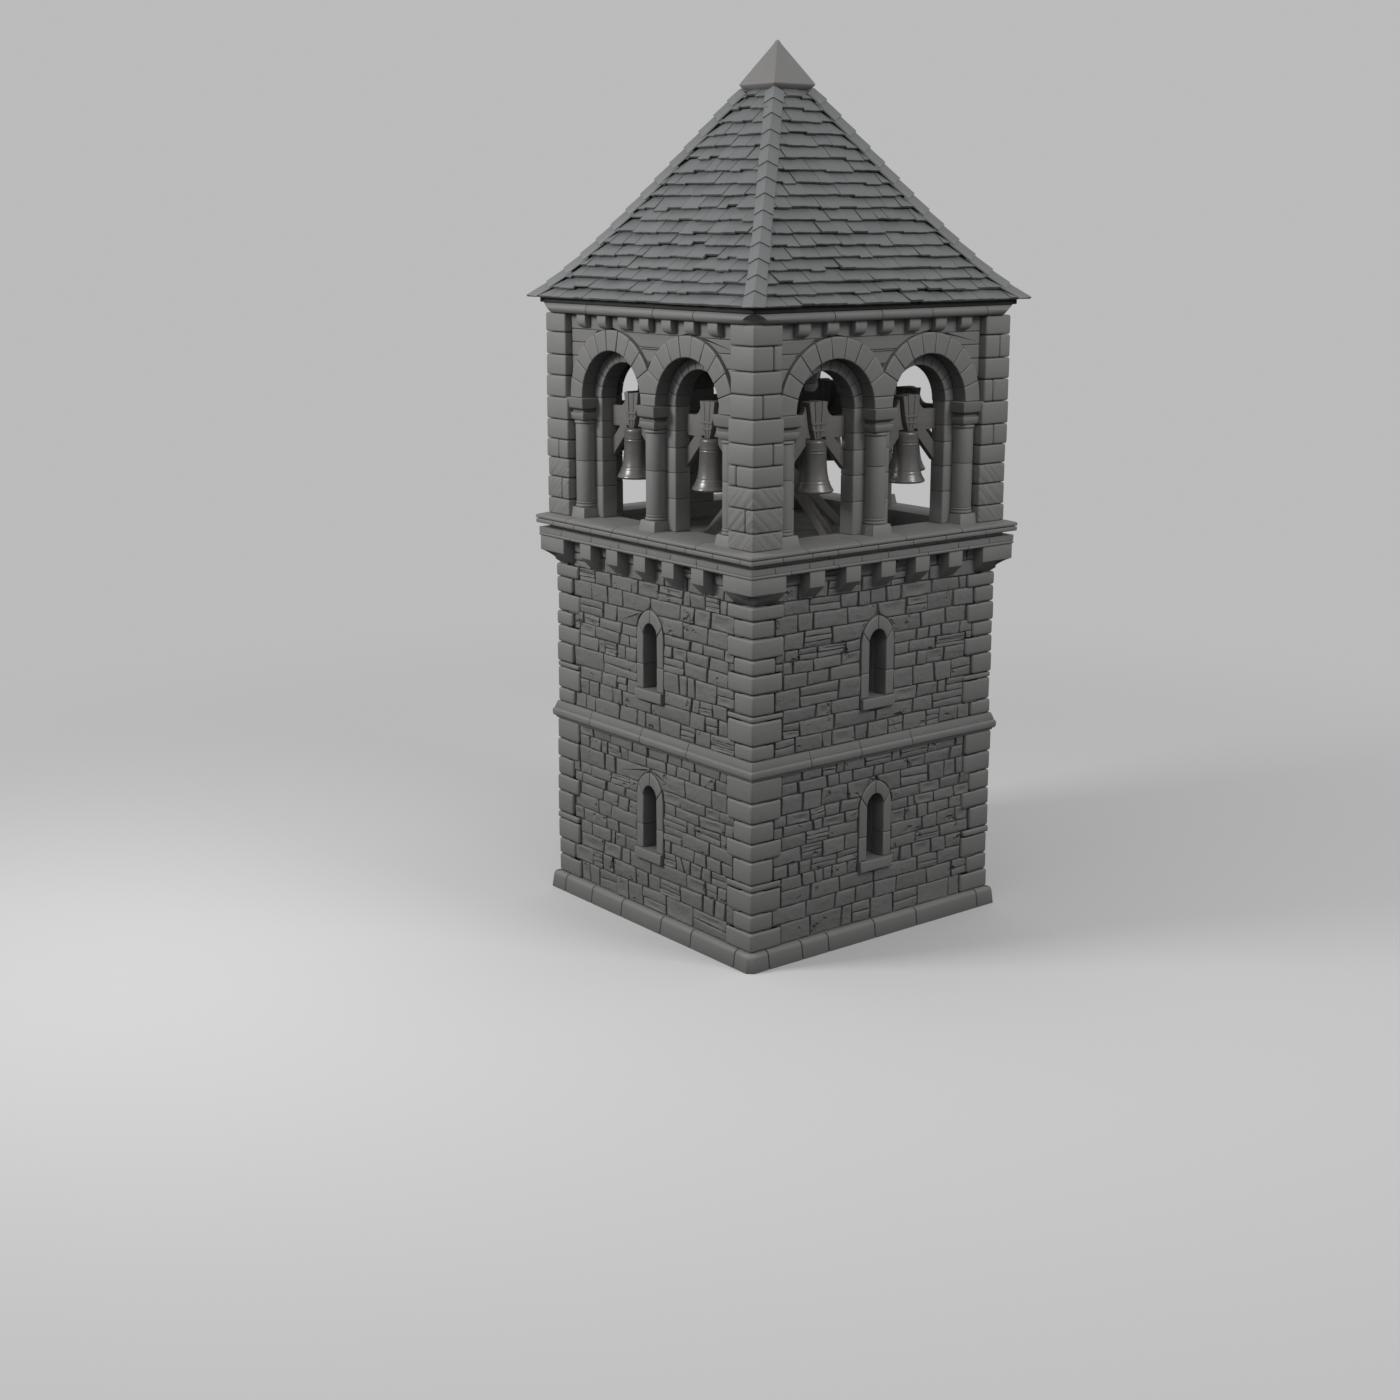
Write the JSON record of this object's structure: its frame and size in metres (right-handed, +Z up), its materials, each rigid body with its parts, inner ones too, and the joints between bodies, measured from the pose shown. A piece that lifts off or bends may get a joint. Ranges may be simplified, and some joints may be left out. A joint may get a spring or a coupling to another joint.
{
  "type": "stone bell tower",
  "caption": "Square stone bell tower with coursed rubble walls, lancet windows, an open twin-arched belfry with swinging bells, and a steep slated pyramid roof with a stone cap.",
  "frame": {"origin": "middle of the tower's base at ground level", "axes": "+Z up along the tower's axis; -Y is the front, the left-hand visible side in the picture; +X is the right-hand visible side"},
  "size_m": [6.353, 6.353, 15.562],
  "materials": {
    "rubble_stone": "rough coursed rubble",
    "dressed_stone": "worn dressed stone",
    "roof_slate": "riven slate",
    "timber": "weathered grey boards",
    "bell_frame_timber": "weathered oak with iron straps",
    "bell_metal": "dull grey bell metal, polished at the lip"
  },
  "bodies": {
    "tower": {"front_wall": "rubble_stone", "right_wall": "rubble_stone", "back_wall": "rubble_stone", "left_wall": "rubble_stone", "plinth": "dressed_stone", "corner_stones": "dressed_stone", "window_dressings": "dressed_stone", "string_course": "dressed_stone", "corbels": "dressed_stone", "belfry_cornice": "dressed_stone", "corner_piers": "dressed_stone", "front_arcade": "dressed_stone", "right_arcade": "dressed_stone", "back_arcade": "dressed_stone", "left_arcade": "dressed_stone", "column_bases": "dressed_stone", "column_shafts": "dressed_stone", "column_capitals": "dressed_stone", "eaves_corbels": "dressed_stone", "eaves_cornice": "dressed_stone", "roof_cap": "dressed_stone", "roof": "roof_slate", "hip_tiles": "roof_slate", "upper_floor": "timber", "belfry_floor": "timber", "wall_plate": "timber", "belfry_post": "timber", "raking_struts": "timber", "front_brackets": "bell_frame_timber", "right_brackets": "bell_frame_timber", "back_brackets": "bell_frame_timber", "left_brackets": "bell_frame_timber"},
    "swinging_bell_1": {"headstock_1": "bell_frame_timber", "bell_1": "bell_metal"},
    "swinging_bell_2": {"headstock_2": "bell_frame_timber", "bell_2": "bell_metal"},
    "swinging_bell_3": {"headstock_3": "bell_frame_timber", "bell_3": "bell_metal"},
    "swinging_bell_4": {"headstock_4": "bell_frame_timber", "bell_4": "bell_metal"},
    "swinging_bell_5": {"headstock_5": "bell_frame_timber", "bell_5": "bell_metal"},
    "swinging_bell_6": {"headstock_6": "bell_frame_timber", "bell_6": "bell_metal"},
    "swinging_bell_7": {"headstock_7": "bell_frame_timber", "bell_7": "bell_metal"},
    "swinging_bell_8": {"headstock_8": "bell_frame_timber", "bell_8": "bell_metal"}
  },
  "joints": [
    {"name": "bell_1_swing", "type": "hinge", "parent": "tower", "child": "swinging_bell_1", "pos_m": [-1.08, -2.29, 9.15], "axis": [-1, 0, 0], "range_deg": [-40, 40]},
    {"name": "bell_2_swing", "type": "hinge", "parent": "tower", "child": "swinging_bell_2", "pos_m": [1.08, -2.29, 9.15], "axis": [-1, 0, 0], "range_deg": [-40, 40]},
    {"name": "bell_3_swing", "type": "hinge", "parent": "tower", "child": "swinging_bell_3", "pos_m": [2.29, -1.08, 9.15], "axis": [0, -1, 0], "range_deg": [-40, 40]},
    {"name": "bell_4_swing", "type": "hinge", "parent": "tower", "child": "swinging_bell_4", "pos_m": [2.29, 1.08, 9.15], "axis": [0, -1, 0], "range_deg": [-40, 40]},
    {"name": "bell_5_swing", "type": "hinge", "parent": "tower", "child": "swinging_bell_5", "pos_m": [1.08, 2.29, 9.15], "axis": [1, 0, 0], "range_deg": [-40, 40]},
    {"name": "bell_6_swing", "type": "hinge", "parent": "tower", "child": "swinging_bell_6", "pos_m": [-1.08, 2.29, 9.15], "axis": [1, 0, 0], "range_deg": [-40, 40]},
    {"name": "bell_7_swing", "type": "hinge", "parent": "tower", "child": "swinging_bell_7", "pos_m": [-2.29, 1.08, 9.15], "axis": [0, 1, 0], "range_deg": [-40, 40]},
    {"name": "bell_8_swing", "type": "hinge", "parent": "tower", "child": "swinging_bell_8", "pos_m": [-2.29, -1.08, 9.15], "axis": [0, 1, 0], "range_deg": [-40, 40]}
  ]
}
